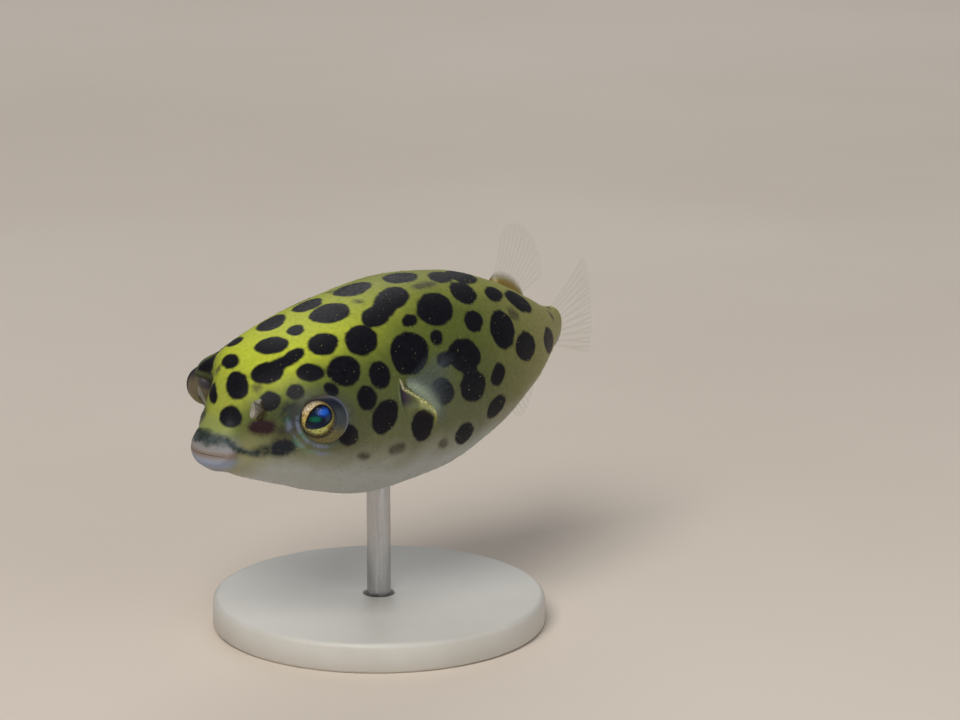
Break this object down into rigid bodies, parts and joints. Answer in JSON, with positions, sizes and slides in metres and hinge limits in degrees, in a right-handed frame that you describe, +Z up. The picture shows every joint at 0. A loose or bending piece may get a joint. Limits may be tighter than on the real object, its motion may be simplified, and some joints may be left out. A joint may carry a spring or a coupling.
{
  "type": "freshwater pufferfish",
  "caption": "Life-size young freshwater pufferfish, swimming with its tail turned, held on a rod above a plain round stand.",
  "frame": {"origin": "centre of the stand's flat underside, under the belly", "axes": "+X from the head towards the tail, +Y to the fish's right side, +Z up"},
  "size_m": [0.0554, 0.028, 0.0316],
  "materials": {
    "skin": "moist, smooth scaleless skin, yellow-green above with near-black round spots, pearly white below",
    "lip": "moist, pale blue-grey skin",
    "eye": "polished wet cornea over a gold iris and a blue-green pupil",
    "fin": "thin, nearly clear membrane on fine rays",
    "stand_paint": "satin",
    "stand_steel": "brushed"
  },
  "bodies": {
    "root": {"head": "skin", "upper_lip": "lip", "lower_lip": "lip", "trunk": "skin", "tail": "skin", "eye_left": "eye", "eye_right": "eye", "dorsal_fin": "fin", "anal_fin": "fin", "caudal_fin": "fin", "pectoral_fin_left": "fin", "pectoral_fin_right": "fin", "stand_base": "stand_paint", "stand_rod": "stand_steel"}
  },
  "joints": []
}
